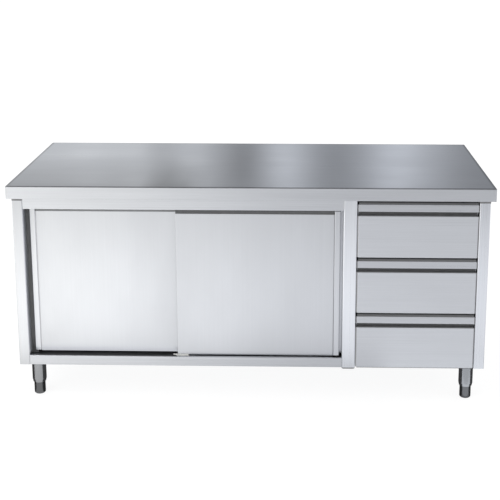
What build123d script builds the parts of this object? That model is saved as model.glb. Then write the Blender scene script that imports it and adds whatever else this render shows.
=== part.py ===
from build123d import *
import os

# A stainless steel kitchen work table: a folded worktop on a closed cabinet with two
# hanging sliding doors and a column of three drawers, standing on four screw feet.
# Millimetres. X runs along the table, Y from the front to the back, Z up.
# The origin is on the floor, below the centre of the worktop.

# ---- driving dimensions ----
WIDTH = 1800
DEPTH = 800
HEIGHT = 850

TOP_SHEET = 1.5      # folded sheet of the worktop
SHEET = 1.2          # folded sheet of the frame and panels
THIN = 1             # folded sheet of the doors, drawers and runners
BOARD = 18           # board under the worktop's sheet
BEND = 3             # outer radius of a fold
EDGE = 48            # height of the worktop's folded edge
OVERHANG = 17        # worktop beyond the cabinet, at every side
BASE = 145           # floor to the cabinet's underside
POST = 40            # side of a square corner post
POST_CORNER = 4      # outer radius of a post's corners
MIDDLE_POST = 50     # width of the post between doors and drawers
MIDDLE_X = 370       # centre line of that post
FOOT_X = 827         # feet from the centre line
FOOT_Y = 312

# ---- derived positions ----
SIDE = WIDTH / 2 - OVERHANG
FRONT = -DEPTH / 2 + OVERHANG
REAR = -FRONT
TOP = HEIGHT - EDGE
POST_IN = SIDE - POST
POST_REAR = FRONT + POST
BAY_LEFT = MIDDLE_X + MIDDLE_POST / 2
CUPBOARD_RIGHT = MIDDLE_X - MIDDLE_POST / 2

# ---- cupboard ----
DECK = 165           # upper face of the bottom shelf
RAIL_TOP = 183       # upper face of the shelf's front rail
RAIL_DEPTH = 10
DECK_REAR = 358
HEADER_BOTTOM = 759
SHELF_TOP = 478
SHELF_DEPTH = 28
SHELF_FRONT = -300

# ---- doors ----
DOOR_BOTTOM = 183
DOOR_TOP = 741
DOOR_WIDTH = 613
DOOR_THICK = 18
RIGHT_DOOR_X = -279  # left edge when closed
LEFT_DOOR_X = -829
RIGHT_DOOR_Y = FRONT + 18
LEFT_DOOR_Y = FRONT + 47
DOOR_TRAVEL = 555    # opening travel of both doors
LEFT_CLOSING = 19    # travel left beyond the rest place, behind the corner post
RIGHT_CLOSING = 10.5
GRIP_WIDTH = 21
GRIP_PROUD = 6.5
GRIP_BOTTOM = 189
GRIP_TOP = 754
HANGER_X = 200       # hangers from the door's centre line
HANGER_WIDTH = 36
TRACK_FLOOR = 757
RIDGE_TOP = 765
WHEEL_Y = 8          # wheel's middle plane behind the door's face
WHEEL_GROOVE_R = 10
WHEEL_RIM_R = 13
WHEEL_WIDTH = 8
GAP = 0.3            # running clearance of round faces
GUIDE_X = -251

# ---- drawers ----
DRAWERS = 3
PITCH = 217
LOWEST_DRAWER = 147
FRONT_WIDTH = 440
FRONT_HEIGHT = 160
FRONT_DEPTH = 18
SLOT = 15
BAR_HEIGHT = 29
TRAY_LENGTH = 600
TRAY_BOTTOM = 23     # above the front panel's lower edge
TRAY_TOP = 170
RUNNER_LENGTH = 550
RUNNER_GAP = 13      # room for one telescopic runner beside the tray
RUNNER_Z = 75

# ---- feet ----
SLEEVE_R = 27
SLEEVE_END_R = 24.5
SLEEVE_TAPER = 61
SLEEVE_BOTTOM = 50
INSERT_R = 21.5
INSERT_TOP = 78
STUD_R = 6
PLATE = 3
PLATE_SIZE = 100
BOLT_X = 41
BOLT_Y = 20
BOLT_R = 4
BOLT_HOLE_R = 4.2


def block(x, y, z):
    """A box between pairs of coordinates."""
    size = Vector(x[1] - x[0], y[1] - y[0], z[1] - z[0])
    centre = Vector(x[0] + x[1], y[0] + y[1], z[0] + z[1]) / 2
    return Pos(centre) * Box(size.X, size.Y, size.Z)


def round_block(x, y, z, radius, axis=Axis.Z):
    """A box with the four edges along one axis rounded."""
    body = block(x, y, z)
    return fillet(body.edges().filter_by(axis), radius)


def pan(width, height, depth, sheet, bend=2, lip=0):
    """A tray folded from sheet: a face at Z 0 and four flanges up to depth, with an optional inward lip."""
    outer = Pos(0, 0, depth / 2) * Box(width, height, depth)
    outer = fillet(outer.edges().filter_by(Axis.Z), bend)
    outer = fillet(outer.faces().sort_by(Axis.Z)[0].edges(), bend)
    top = depth - sheet if lip else depth + sheet
    inner = Pos(0, 0, (sheet + top) / 2) * Box(width - 2 * sheet, height - 2 * sheet, top - sheet)
    inner = fillet(inner.edges().filter_by(Axis.Z), bend - sheet + 0.3)
    inner = fillet(inner.faces().sort_by(Axis.Z)[0].edges(), bend - sheet + 0.3)
    shell = outer - inner
    if lip:
        shell -= Pos(0, 0, depth) * Box(width - 2 * lip, height - 2 * lip, 3 * sheet)
    return shell


def pan_facing(axis_z, axis_x, origin, *size, **options):
    """A pan whose face looks away from axis_z, its local X along axis_x."""
    return Plane(origin=origin, x_dir=axis_x, z_dir=axis_z).location * pan(*size, **options)


def folded(plane, length, points, sheet=SHEET, radius=BEND):
    """Sheet folded along a line of points, thickened to its left and drawn out along the plane's normal.

    radius is the outer radius of every fold, or a list with one for each.
    """
    corners = [Vector(*point) for point in points]
    runs = [(b - a).normalized() for a, b in zip(corners, corners[1:])]
    lefts = [Vector(-run.Y, run.X) for run in runs]
    radii = radius if isinstance(radius, list) else [radius] * (len(points) - 2)
    shifted = [corners[0] + lefts[0] * sheet]
    near, far = [], []
    for corner, before, after, outer in zip(corners[1:], lefts, lefts[1:], radii):
        shifted.append(corner + (before + after) * (sheet / (1 + before.dot(after))))
        turns_left = before.cross(after).Z > 0
        near.append(outer if turns_left else outer - sheet)
        far.append(outer - sheet if turns_left else outer)
    shifted.append(corners[-1] + lefts[-1] * sheet)
    outline = FilletPolyline(*corners, radius=near) + FilletPolyline(*shifted, radius=far)
    outline += Line(corners[0], shifted[0]) + Line(corners[-1], shifted[-1])
    return extrude(plane * make_face(outline.edges()), length)


def along_x(x):
    """The Y-Z plane at one X, for sections drawn out along +X."""
    return Plane(origin=(x, 0, 0), x_dir=(0, 1, 0), z_dir=(1, 0, 0))


def along_y(y):
    """The X-Z plane at one Y, for sections drawn out along +Y with X mirrored."""
    return Plane(origin=(0, y, 0), x_dir=(-1, 0, 0), z_dir=(0, 1, 0))


def turned(points, centre):
    """A solid of revolution about an upright axis, from radius and height pairs."""
    profile = make_face(Polyline(*points, close=True))
    return Pos(*centre) * revolve(Plane.XZ * profile, Axis.Z)


def hexagon(across_flats, z, centre):
    """An upright hexagonal prism between two heights."""
    profile = RegularPolygon(across_flats / 2, 6, major_radius=False)
    return Pos(centre[0], centre[1], z[0]) * extrude(profile, z[1] - z[0])


# ---- worktop ----

def worktop_skin():
    """Top sheet with a turned-down edge all round and a lip turned in below it."""
    origin = (0, 0, HEIGHT)
    return pan_facing((0, 0, -1), (1, 0, 0), origin, WIDTH, DEPTH, EDGE, TOP_SHEET, bend=BEND, lip=20)


def worktop_underlay():
    """Board glued under the top sheet against denting and drumming."""
    margin = TOP_SHEET + BEND
    upper = HEIGHT - TOP_SHEET
    x = WIDTH / 2 - margin
    y = DEPTH / 2 - margin
    return block((-x, x), (-y, y), (upper - BOARD, upper))


def worktop_stiffeners():
    """U channels under the board: one over each row of posts and three across."""
    board_face = HEIGHT - TOP_SHEET - BOARD
    width = 60
    long_y = (FRONT + 5, FRONT + 5 + width)

    def section(start):
        return [(start, board_face), (start, TOP), (start + width, TOP), (start + width, board_face)]

    half = SIDE - 4
    front = folded(along_x(-half), 2 * half, section(long_y[0]))
    rear = folded(along_x(-half), 2 * half, section(-long_y[1]))
    cross_length = -2 * long_y[1]
    cross = [folded(along_y(long_y[1]), cross_length, section(x - width / 2)) for x in (-600, 0, 600)]
    return Compound(children=[front, rear] + cross)


# ---- frame ----

def tube(x, y, z):
    """A rectangular tube standing between two heights."""
    width, depth = x[1] - x[0], y[1] - y[0]
    wall = RectangleRounded(width, depth, POST_CORNER)
    wall -= RectangleRounded(width - 2 * SHEET, depth - 2 * SHEET, POST_CORNER - SHEET)
    return Pos((x[0] + x[1]) / 2, (y[0] + y[1]) / 2, z[0]) * extrude(wall, z[1] - z[0])


def corner_post(side, end):
    """Square post at one corner, side -1 or 1 along X and end -1 or 1 along Y."""
    x = sorted((side * SIDE, side * POST_IN))
    y = sorted((end * REAR, end * (REAR - POST)))
    return tube(x, y, (BASE, TOP))


def middle_posts():
    """The front and the rear post between the cupboard and the drawer bay."""
    x = (CUPBOARD_RIGHT, BAY_LEFT)
    rear_face = REAR - 1 - SHEET
    front = tube(x, (FRONT, POST_REAR), (BASE, TOP))
    rear = tube(x, (rear_face - POST, rear_face), (BASE, TOP))
    return front, rear


def spigot(width, depth):
    """The part of a plug that fills the bore of a post of that outer size."""
    fit = SHEET + 0.1
    return extrude(RectangleRounded(width - 2 * fit, depth - 2 * fit, POST_CORNER - SHEET), 15)


def post_end_plugs():
    """Plugs pressed into the posts' lower ends; the middle posts' plugs have a domed head."""
    plugs = []
    for side in (-1, 1):
        for end in (-1, 1):
            centre = (side * (SIDE - POST / 2), end * (REAR - POST / 2), BASE)
            plugs.append(Pos(*centre) * spigot(POST, POST))
    rear_y = REAR - 1 - SHEET - POST / 2
    for y in (FRONT + POST / 2, rear_y):
        head = extrude(RectangleRounded(MIDDLE_POST, POST, POST_CORNER), -3.5)
        dome = extrude(RectangleRounded(MIDDLE_POST - 4, POST - 4, 6), -7)
        dome = fillet(dome.faces().sort_by(Axis.Z)[0].edges(), 3)
        plugs.append(Pos(MIDDLE_X, y, BASE) * (head + dome + spigot(MIDDLE_POST, POST)))
    return Compound(children=plugs)


def side_panel(side):
    """Outer panel between the front and rear post, set 1 mm back from their faces."""
    length = 2 * (REAR - POST) - 1
    height = TOP - BASE
    origin = (side * (SIDE - 1), 0, (TOP + BASE) / 2)
    panel = pan_facing((-side, 0, 0), (0, 1, 0), origin, length, height, 20, SHEET)
    return panel - bolt_holes()


def back_panel():
    """Rear panel between the corner posts, outside the rear middle post."""
    width = 2 * POST_IN
    height = TOP - BASE
    origin = (0, REAR - 1, (TOP + BASE) / 2)
    panel = pan_facing((0, -1, 0), (1, 0, 0), origin, width, height, 20, SHEET)
    slot_x = (CUPBOARD_RIGHT - 0.5, BAY_LEFT + 0.5)
    rear_face = REAR - 1 - SHEET
    return panel - block(slot_x, (rear_face - 30, rear_face), (BASE - 1, TOP + 1))


def partition_panel():
    """Wall between the cupboard and the drawer bay."""
    y = (POST_REAR, REAR - 1 - SHEET - POST)
    height = TOP - BASE
    origin = (BAY_LEFT, (y[0] + y[1]) / 2, (TOP + BASE) / 2)
    return pan_facing((-1, 0, 0), (0, 1, 0), origin, y[1] - y[0], height, 25, SHEET)


def drawer_bay_liner():
    """Inner wall of the drawer bay, which carries the right-hand runners."""
    height = TOP - BASE
    origin = (POST_IN, 0, (TOP + BASE) / 2)
    return pan_facing((1, 0, 0), (0, 1, 0), origin, 2 * (REAR - POST), height, 17, SHEET)


def deck_section(front_points):
    """Section of a floor sheet from the rear: a fold down, the deck, and the folds at the front."""
    return [(DECK_REAR, BASE + 2), (DECK_REAR, DECK)] + front_points


def bottom_shelf():
    """Cupboard floor in one piece with its front rail, notched round the posts."""
    rail = [(FRONT + RAIL_DEPTH, DECK), (FRONT + RAIL_DEPTH, RAIL_TOP), (FRONT, RAIL_TOP), (FRONT, BASE),
            (FRONT + 15, BASE)]
    width = CUPBOARD_RIGHT + POST_IN
    floor = folded(along_x(-POST_IN), width, deck_section(rail), radius=2.5)
    y = (POST_REAR + 3, REAR - POST - 5)
    left = block((-SIDE + 1 + SHEET + 0.5, -POST_IN + 1), y, (DECK - SHEET, DECK))
    right = block((CUPBOARD_RIGHT - 1, BAY_LEFT - SHEET - 0.5), y, (DECK - SHEET, DECK))
    return floor + left + right


def drawer_bay_floor():
    """Floor under the drawers, with a fold down at both ends."""
    start = FRONT + 21
    points = deck_section([(start, DECK), (start, BASE + 2)])
    return folded(along_x(BAY_LEFT + 0.2), POST_IN - BAY_LEFT - 0.4, points)


def base_channels():
    """Three U channels from front to back under the floors."""
    width = 80
    top = DECK - SHEET
    channels = []
    for start in (-POST_IN + 0.5, CUPBOARD_RIGHT - width - 1, POST_IN - width - 0.5):
        points = [(-start, top), (-start, BASE), (-start - width, BASE), (-start - width, top)]
        channel = folded(along_y(FRONT + 24), DECK_REAR - 3 - FRONT - 24, points[::-1])
        channels.append(channel - bolt_holes())
    return Compound(children=channels)


def middle_shelf():
    """Intermediate shelf of the cupboard, its edges turned down and in."""
    x = (-SIDE + 5, BAY_LEFT - SHEET - 2.5)
    y = (SHELF_FRONT, REAR - POST - 4)
    origin = ((x[0] + x[1]) / 2, (y[0] + y[1]) / 2, SHELF_TOP)
    return pan_facing((0, 0, -1), (1, 0, 0), origin, x[1] - x[0], y[1] - y[0], SHELF_DEPTH, SHEET, lip=12)


def shelf_supports():
    """Angle rails that carry the shelf's two ends."""
    leg = 20
    top = SHELF_TOP - SHELF_DEPTH
    length = 600
    start = SHELF_FRONT + 15
    left_x = SIDE - 1 - SHEET
    left = folded(along_y(start), length, [(left_x - leg, top), (left_x, top), (left_x, top - leg)][::-1])
    right_x = BAY_LEFT - SHEET
    right = folded(along_y(start), length, [(-right_x, top - leg), (-right_x, top), (-right_x + leg, top)][::-1])
    return Compound(children=[left, right])


def header_rail():
    """Rail above the doors, flush with the posts."""
    depth = 12
    points = [(FRONT + depth, TOP), (FRONT, TOP), (FRONT, HEADER_BOTTOM), (FRONT + depth, HEADER_BOTTOM),
              (FRONT + depth, HEADER_BOTTOM + 8)]
    return folded(along_x(-POST_IN), CUPBOARD_RIGHT + POST_IN, points, radius=2.5)


def door_track():
    """Double hanging track: one plate with a J-shaped rail for each door."""
    web_back = WHEEL_Y + 8.5
    length = CUPBOARD_RIGHT + POST_IN
    plate_y = (FRONT + 13, LEFT_DOOR_Y + web_back)
    track = block((-POST_IN, CUPBOARD_RIGHT), plate_y, (TOP - SHEET, TOP))
    for face in (RIGHT_DOOR_Y, LEFT_DOOR_Y):
        ridge = face + WHEEL_Y - SHEET / 2
        web = face + web_back
        points = [(ridge, RIDGE_TOP), (ridge, TRACK_FLOOR), (web, TRACK_FLOOR), (web, TOP)]
        track += folded(along_x(-POST_IN), length, points, radius=2)
    return track


def door_bumpers():
    """Rubber blocks in the tracks that stop the wheels at the ends of the travel."""
    half = 6
    right_centre = RIGHT_DOOR_X + DOOR_WIDTH / 2
    left_centre = LEFT_DOOR_X + DOOR_WIDTH / 2
    reach = HANGER_X + WHEEL_RIM_R + GAP
    stops = [
        (RIGHT_DOOR_Y, right_centre - DOOR_TRAVEL - reach - half),
        (RIGHT_DOOR_Y, right_centre + RIGHT_CLOSING + reach + half),
        (LEFT_DOOR_Y, left_centre - LEFT_CLOSING - reach - half),
        (LEFT_DOOR_Y, left_centre + DOOR_TRAVEL + reach + half),
    ]
    blocks = []
    for face, x in stops:
        y = (face + WHEEL_Y + SHEET / 2 + 0.2, face + WHEEL_Y + 6.8)
        floor = TRACK_FLOOR + SHEET + 0.6
        blocks.append(round_block((x - half, x + half), y, (floor, floor + 24), 1.5, Axis.Y))
    return Compound(children=blocks)


def door_guide():
    """Bracket on the cupboard floor whose three fins keep the doors' lower edges apart."""
    width = 26
    x = (GUIDE_X - width / 2, GUIDE_X + width / 2)
    fin_top = DOOR_BOTTOM + 4.5
    fin = 2.4
    front_door_rear = RIGHT_DOOR_Y + DOOR_THICK
    rear_door_rear = LEFT_DOOR_Y + DOOR_THICK
    fins = [
        (RIGHT_DOOR_Y - 0.5 - fin, RIGHT_DOOR_Y - 0.5),
        (front_door_rear + 0.5, LEFT_DOOR_Y - 0.5),
        (rear_door_rear + 0.5, rear_door_rear + 0.5 + fin),
    ]
    guide = block(x, (fins[0][0], fins[2][1]), (DECK, DECK + 2.5))
    for y in fins:
        guide += round_block(x, y, (DECK, fin_top), 1, Axis.Y)
    return guide


# ---- doors ----

def door_outer_skin(x, face):
    """Front sheet of a door, its edges folded back."""
    origin = ((x[0] + x[1]) / 2, face, (DOOR_BOTTOM + DOOR_TOP) / 2)
    height = DOOR_TOP - DOOR_BOTTOM
    return pan_facing((0, 1, 0), (1, 0, 0), origin, x[1] - x[0], height, DOOR_THICK, THIN)


def door_inner_skin(x, face):
    """Back sheet of a door, folded forwards inside the outer skin."""
    play = THIN + 0.1
    origin = ((x[0] + x[1]) / 2, face + DOOR_THICK, (DOOR_BOTTOM + DOOR_TOP) / 2)
    height = DOOR_TOP - DOOR_BOTTOM
    return pan_facing((0, -1, 0), (1, 0, 0), origin, x[1] - x[0] - 2 * play, height - 2 * play, 9, THIN)


def door_grip(joint_x, outward, face):
    """Pull along a door's outer edge: a folded strip that stands proud and hooks back over the skin."""
    edge = joint_x + outward * GRIP_WIDTH
    back = face + DOOR_THICK
    lip = face - GRIP_PROUD
    points = [(joint_x, back), (edge, back), (edge, lip), (joint_x, lip), (joint_x, lip + 3.2)]
    if outward > 0:
        points = points[::-1]
    plane = Plane(origin=(0, 0, GRIP_BOTTOM), x_dir=(1, 0, 0), z_dir=(0, 0, 1))
    strip = folded(plane, GRIP_TOP - GRIP_BOTTOM, points, sheet=THIN, radius=2)
    wall = sorted((joint_x, edge - outward * THIN))
    floor = (face, face + THIN)
    return strip + block(wall, floor, (GRIP_BOTTOM, DOOR_TOP))


def door_hangers(centre_x, face):
    """Two angle brackets on the door's upper edge, each with a headed axle for its wheel."""
    hangers = []
    axle_z = RIDGE_TOP + GAP + WHEEL_GROOVE_R
    plate_y = face + 0.5
    wheel_rear = face + WHEEL_Y + WHEEL_WIDTH / 2
    for offset_x in (-HANGER_X, HANGER_X):
        x = centre_x + offset_x
        points = [(plate_y + 13, DOOR_TOP), (plate_y, DOOR_TOP), (plate_y, axle_z + 12)]
        bracket = folded(along_x(x - HANGER_WIDTH / 2), HANGER_WIDTH, points[::-1], sheet=2, radius=3)
        axle = Plane(origin=(x, plate_y + 0.5, axle_z), x_dir=(1, 0, 0), z_dir=(0, 1, 0))
        pin = extrude(axle * Circle(3), wheel_rear + 0.8 - plate_y - 0.5)
        head_plane = Plane(origin=(x, wheel_rear + 0.8, axle_z), x_dir=(1, 0, 0), z_dir=(0, 1, 0))
        head = extrude(head_plane * Circle(5), 1.5)
        hangers.append(bracket + pin + head)
    return Compound(children=hangers)


def door_roller(x, face):
    """Grooved nylon wheel that runs on the track's ridge."""
    half = WHEEL_WIDTH / 2
    groove = 1.8
    bore = 3.05
    points = [(bore, -half), (WHEEL_RIM_R - 0.6, -half), (WHEEL_RIM_R, -half + 0.6), (WHEEL_RIM_R, -groove - 0.4),
              (WHEEL_GROOVE_R, -groove + 0.6), (WHEEL_GROOVE_R, groove - 0.6), (WHEEL_RIM_R, groove + 0.4),
              (WHEEL_RIM_R, half - 0.6), (WHEEL_RIM_R - 0.6, half), (bore, half)]
    profile = make_face(Polyline(*points, close=True))
    wheel = revolve(Plane.XZ * profile, Axis.Z)
    axle_z = RIDGE_TOP + GAP + WHEEL_GROOVE_R
    placed = Plane(origin=(x, face + WHEEL_Y, axle_z), x_dir=(1, 0, 0), z_dir=(0, 1, 0))
    return placed.location * wheel


def door(name, left_x, face, outward):
    """All nodes of one door; outward is the side of its grip."""
    skin_x = (left_x, left_x + DOOR_WIDTH - GRIP_WIDTH)
    joint_x = skin_x[1]
    if outward < 0:
        skin_x = (left_x + GRIP_WIDTH, left_x + DOOR_WIDTH)
        joint_x = skin_x[0]
    centre = left_x + DOOR_WIDTH / 2
    return {
        name + "_outer_skin": door_outer_skin(skin_x, face),
        name + "_inner_skin": door_inner_skin(skin_x, face),
        name + "_edge_grip": door_grip(joint_x, outward, face),
        name + "_hangers": door_hangers(centre, face),
        name + "_left_roller": door_roller(centre - HANGER_X, face),
        name + "_right_roller": door_roller(centre + HANGER_X, face),
    }


# ---- drawers ----

def drawer_base(number):
    """Lower edge of a drawer's front panel; drawer 1 is the top one."""
    return LOWEST_DRAWER + (DRAWERS - number) * PITCH


def drawer_front(base):
    """Folded front panel below the finger slot."""
    origin = ((BAY_LEFT + POST_IN) / 2 + 0.5, FRONT, base + FRONT_HEIGHT / 2)
    return pan_facing((0, 1, 0), (1, 0, 0), origin, FRONT_WIDTH, FRONT_HEIGHT, FRONT_DEPTH, THIN)


def drawer_grip_bar(base):
    """Full-width pull above the slot: a backing web, a top fold, a bar and a curled-in lip."""
    back = FRONT + FRONT_DEPTH + THIN
    bar_bottom = base + FRONT_HEIGHT + SLOT
    bar_top = bar_bottom + BAR_HEIGHT
    curl = 9
    points = [(back, base + 110), (back, bar_top), (FRONT, bar_top), (FRONT, bar_bottom),
              (FRONT + curl, bar_bottom), (FRONT + curl, bar_bottom + curl)]
    start = (BAY_LEFT + POST_IN) / 2 + 0.5 - FRONT_WIDTH / 2
    return folded(along_x(start), FRONT_WIDTH, points, sheet=THIN, radius=[3, 3, 4, 4])


def drawer_tray(base):
    """Open box of the drawer with a lip turned in round the top."""
    start = FRONT + FRONT_DEPTH + THIN
    width = POST_IN - BAY_LEFT - 2 * RUNNER_GAP
    origin = ((BAY_LEFT + POST_IN) / 2, start + TRAY_LENGTH / 2, base + TRAY_BOTTOM)
    return pan_facing((0, 0, 1), (1, 0, 0), origin, width, TRAY_LENGTH, TRAY_TOP - TRAY_BOTTOM, THIN, lip=8)


def runner(wall_x, inward, base, layer):
    """One C-shaped member of a telescopic runner: 0 fixed, 1 middle, 2 on the tray."""
    web = (0, 3, RUNNER_GAP)[layer]
    tips = (9.4, RUNNER_GAP - 2.4, 5.4)[layer]
    half = (22.5, 19.2, 16)[layer]
    centre = base + RUNNER_Z
    points = [(tips, centre - half), (web, centre - half), (web, centre + half), (tips, centre + half)]
    points = [(-(wall_x + inward * depth), z) for depth, z in points]
    if (inward > 0) == (layer == 2):
        points = points[::-1]
    return folded(along_y(FRONT + 28), RUNNER_LENGTH, points, sheet=THIN, radius=1.6)


def runner_pair(base, layer):
    """The left and right member of one layer."""
    left = runner(BAY_LEFT, 1, base, layer)
    right = runner(POST_IN, -1, base, layer)
    return Compound(children=[left, right])


def drawer(number):
    """All nodes of one drawer."""
    name = f"drawer_{number}"
    base = drawer_base(number)
    return {
        name + "_front": drawer_front(base),
        name + "_grip_bar": drawer_grip_bar(base),
        name + "_tray": drawer_tray(base),
        name + "_tray_runners": runner_pair(base, 2),
        name + "_middle_runners": runner_pair(base, 1),
    }


def fixed_runners():
    """The six runner members fixed to the walls of the drawer bay."""
    members = []
    for number in range(1, DRAWERS + 1):
        for wall_x, inward in ((BAY_LEFT, 1), (POST_IN, -1)):
            members.append(runner(wall_x, inward, drawer_base(number), 0))
    return Compound(children=members)


# ---- feet ----

def corners():
    """The four feet: a name and a centre for each."""
    for y_name, y in (("front", -FOOT_Y), ("rear", FOOT_Y)):
        for x_name, x in (("left", -FOOT_X), ("right", FOOT_X)):
            yield f"{y_name}_{x_name}", x, y


def bolt_places():
    """Centres of the sixteen bolts, four to a foot plate."""
    for _, x, y in corners():
        for step_x in (-BOLT_X, BOLT_X):
            for step_y in (-BOLT_Y, BOLT_Y):
                yield x + step_x, y + step_y


def bolt_holes():
    """Cylinders that cut the bolt holes through the plates and what they are bolted to."""
    return Compound(children=[Pos(x, y, BASE) * Cylinder(BOLT_HOLE_R, 20) for x, y in bolt_places()])


def foot_plates():
    """A bolted square plate above each foot."""
    plates = []
    for _, x, y in corners():
        plate = extrude(RectangleRounded(PLATE_SIZE, PLATE_SIZE, 10), -PLATE)
        plates.append(Pos(x, y, BASE) * plate - bolt_holes())
    return Compound(children=plates)


def foot_bolts():
    """Hexagon bolts with their nuts."""
    bolts = []
    for x, y in bolt_places():
        shank = Pos(x, y, BASE) * Cylinder(BOLT_R, 16)
        head = hexagon(13, (BASE - PLATE - 5.3, BASE - PLATE), (x, y))
        nut = hexagon(13, (BASE + SHEET, BASE + SHEET + 6.5), (x, y))
        bolts.append(shank + head + nut)
    return Compound(children=bolts)


def foot_sleeve(x, y):
    """Fixed upper tube of a foot, with the nut plate that the insert's stud turns in."""
    top = BASE - PLATE
    wall_r = INSERT_R + GAP
    points = [(SLEEVE_R, top), (SLEEVE_R, SLEEVE_TAPER), (SLEEVE_END_R, SLEEVE_BOTTOM), (wall_r, SLEEVE_BOTTOM),
              (wall_r, 100), (STUD_R + 0.1, 100), (STUD_R + 0.1, 112), (SLEEVE_R - 2, 112), (SLEEVE_R - 2, top)]
    return turned(points, (x, y, 0))


def foot_insert(x, y):
    """Adjustable lower part of a foot: a rounded bullet on a threaded stud."""
    toe = 7
    outline = Line((0, 0), (INSERT_R - toe, 0))
    outline += RadiusArc((INSERT_R - toe, 0), (INSERT_R, toe), -toe)
    outline += Polyline((INSERT_R, toe), (INSERT_R, INSERT_TOP), (STUD_R, INSERT_TOP), (STUD_R, BASE - 10),
                        (0, BASE - 10), (0, 0))
    return Pos(x, y, 0) * revolve(Plane.XZ * make_face(outline.edges()), Axis.Z)


def all_nodes():
    """Every sub-part by its node name."""
    front_middle, rear_middle = middle_posts()
    nodes = {
        "worktop_skin": worktop_skin(),
        "worktop_underlay": worktop_underlay(),
        "worktop_stiffeners": worktop_stiffeners(),
        "front_middle_post": front_middle,
        "rear_middle_post": rear_middle,
        "post_end_plugs": post_end_plugs(),
        "left_side_panel": side_panel(-1),
        "right_side_panel": side_panel(1),
        "back_panel": back_panel(),
        "partition_panel": partition_panel(),
        "drawer_bay_liner": drawer_bay_liner(),
        "bottom_shelf": bottom_shelf(),
        "drawer_bay_floor": drawer_bay_floor(),
        "base_channels": base_channels(),
        "middle_shelf": middle_shelf(),
        "shelf_supports": shelf_supports(),
        "header_rail": header_rail(),
        "door_track": door_track(),
        "door_bumpers": door_bumpers(),
        "door_guide": door_guide(),
        "fixed_runners": fixed_runners(),
        "foot_plates": foot_plates(),
        "foot_bolts": foot_bolts(),
    }
    for side_name, side in (("left", -1), ("right", 1)):
        for end_name, end in (("front", -1), ("rear", 1)):
            nodes[f"{end_name}_{side_name}_post"] = corner_post(side, end)
    nodes.update(door("left_door", LEFT_DOOR_X, LEFT_DOOR_Y, -1))
    nodes.update(door("right_door", RIGHT_DOOR_X, RIGHT_DOOR_Y, 1))
    for number in range(1, DRAWERS + 1):
        nodes.update(drawer(number))
    sleeves = []
    for name, x, y in corners():
        sleeves.append(foot_sleeve(x, y))
        nodes[f"{name}_foot_insert"] = foot_insert(x, y)
    nodes["foot_sleeves"] = Compound(children=sleeves)
    return nodes


os.makedirs("parts", exist_ok=True)
for node, shape in all_nodes().items():
    export_step(shape, f"parts/{node}.step")
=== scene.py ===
"""Studio scene of a stainless steel work table with two sliding doors and three drawers."""

import math
import random

import bmesh
import bpy
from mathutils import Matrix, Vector


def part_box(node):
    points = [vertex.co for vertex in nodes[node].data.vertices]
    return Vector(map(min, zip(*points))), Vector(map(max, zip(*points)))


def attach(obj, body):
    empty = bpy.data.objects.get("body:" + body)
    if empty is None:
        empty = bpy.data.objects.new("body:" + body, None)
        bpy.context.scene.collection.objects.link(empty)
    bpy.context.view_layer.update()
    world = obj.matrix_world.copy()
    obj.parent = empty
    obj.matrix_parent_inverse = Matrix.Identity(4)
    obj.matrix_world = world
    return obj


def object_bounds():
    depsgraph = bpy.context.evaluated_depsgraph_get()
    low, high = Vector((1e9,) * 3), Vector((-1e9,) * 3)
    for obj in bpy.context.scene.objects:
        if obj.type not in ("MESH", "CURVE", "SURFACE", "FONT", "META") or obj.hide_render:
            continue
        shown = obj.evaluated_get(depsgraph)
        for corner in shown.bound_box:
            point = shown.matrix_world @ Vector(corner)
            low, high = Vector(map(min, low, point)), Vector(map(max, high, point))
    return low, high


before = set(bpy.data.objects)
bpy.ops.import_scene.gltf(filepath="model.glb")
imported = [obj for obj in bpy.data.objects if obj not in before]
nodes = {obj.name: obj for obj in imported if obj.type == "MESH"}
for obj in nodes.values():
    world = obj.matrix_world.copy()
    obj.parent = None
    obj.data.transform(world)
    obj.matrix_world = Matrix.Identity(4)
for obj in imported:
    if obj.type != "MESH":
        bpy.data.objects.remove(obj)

cad_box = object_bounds()
scene = bpy.context.scene
random.seed(7)

# Lengths are in metres.
DRAWERS = ("drawer_1", "drawer_2", "drawer_3")
SIDES = (("left", -1, 0), ("right", 1, 1))      # name, outward along X, outer one of a box's two corners


# ---- node helpers ----

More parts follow.
